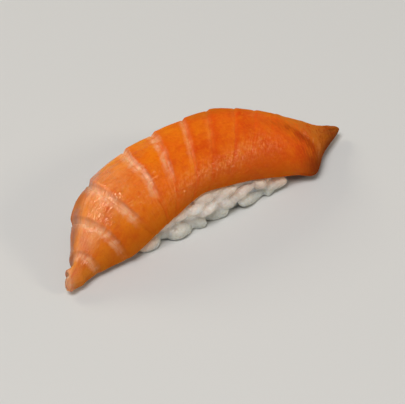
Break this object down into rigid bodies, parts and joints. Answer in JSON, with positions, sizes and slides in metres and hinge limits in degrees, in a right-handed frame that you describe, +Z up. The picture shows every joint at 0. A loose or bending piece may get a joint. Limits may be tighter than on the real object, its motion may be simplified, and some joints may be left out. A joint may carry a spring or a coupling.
{
  "type": "salmon nigiri",
  "caption": "Long slice of raw salmon draped over a hand-pressed block of rice, its two tapered ends hanging past the rice.",
  "frame": {"origin": "middle of the rice's flat underside, on the surface it rests on", "axes": "+X along the slice towards its right tip, +Z up, the longer drape of the slice faces -Y"},
  "size_m": [0.1058, 0.0305, 0.0231],
  "materials": {
    "salmon": "moist raw fish, satin with fine wet highlights",
    "rice": "cooked short-grain rice, softly glossy and translucent"
  },
  "bodies": {
    "root": {"salmon_slice": "salmon", "rice": "rice"}
  },
  "joints": []
}
